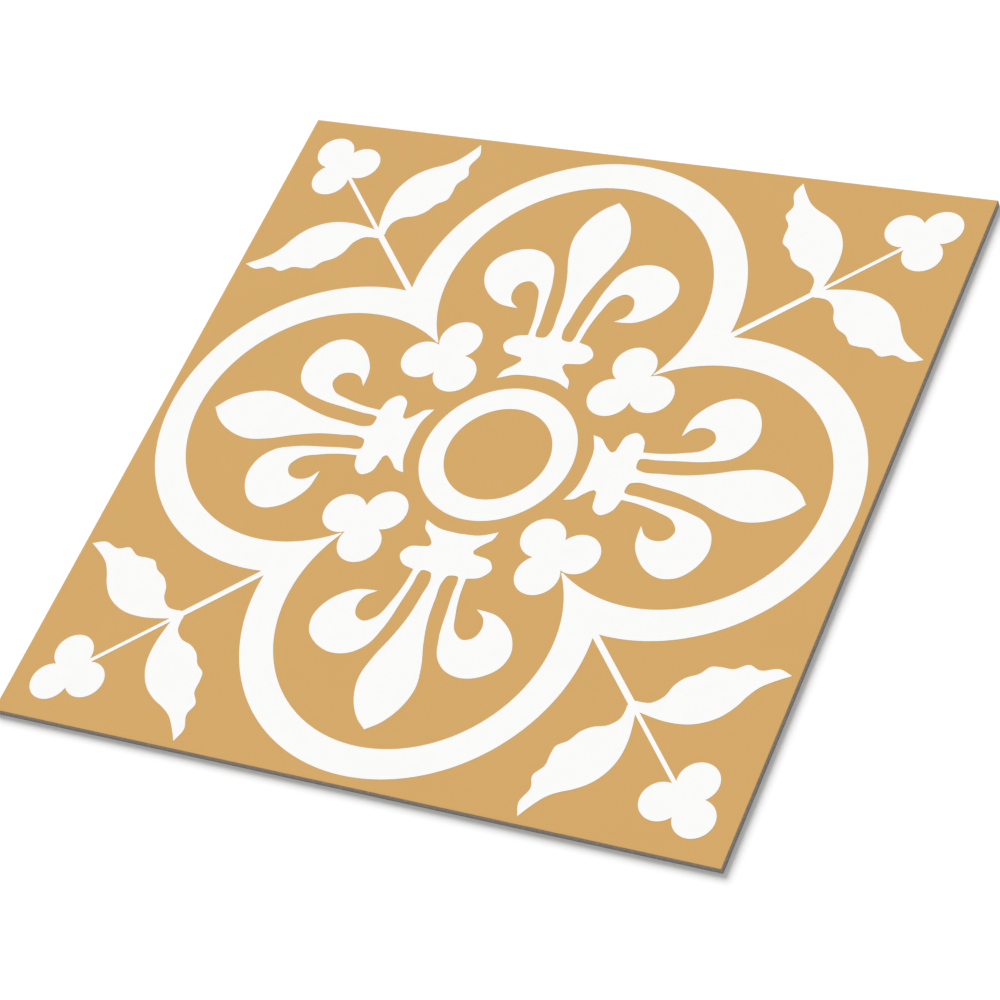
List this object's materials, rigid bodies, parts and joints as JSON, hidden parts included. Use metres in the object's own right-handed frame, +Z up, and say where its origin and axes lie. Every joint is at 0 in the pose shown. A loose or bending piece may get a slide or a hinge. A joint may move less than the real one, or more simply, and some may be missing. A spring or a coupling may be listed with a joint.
{
  "type": "vinyl floor tile",
  "caption": "Square vinyl floor tile, sold flat, with a printed quatrefoil, fleur-de-lis and leaf figure on its face and a plain back for gluing.",
  "frame": {"origin": "middle of the glued back, which lies on the floor", "axes": "+Z up through the face, X and Y along the cut sides"},
  "size_m": [0.305, 0.305, 0.003],
  "materials": {
    "vinyl": "satin printed face, plain cut edges",
    "ink": "white print"
  },
  "bodies": {
    "root": {"tile": "vinyl"}
  },
  "joints": []
}
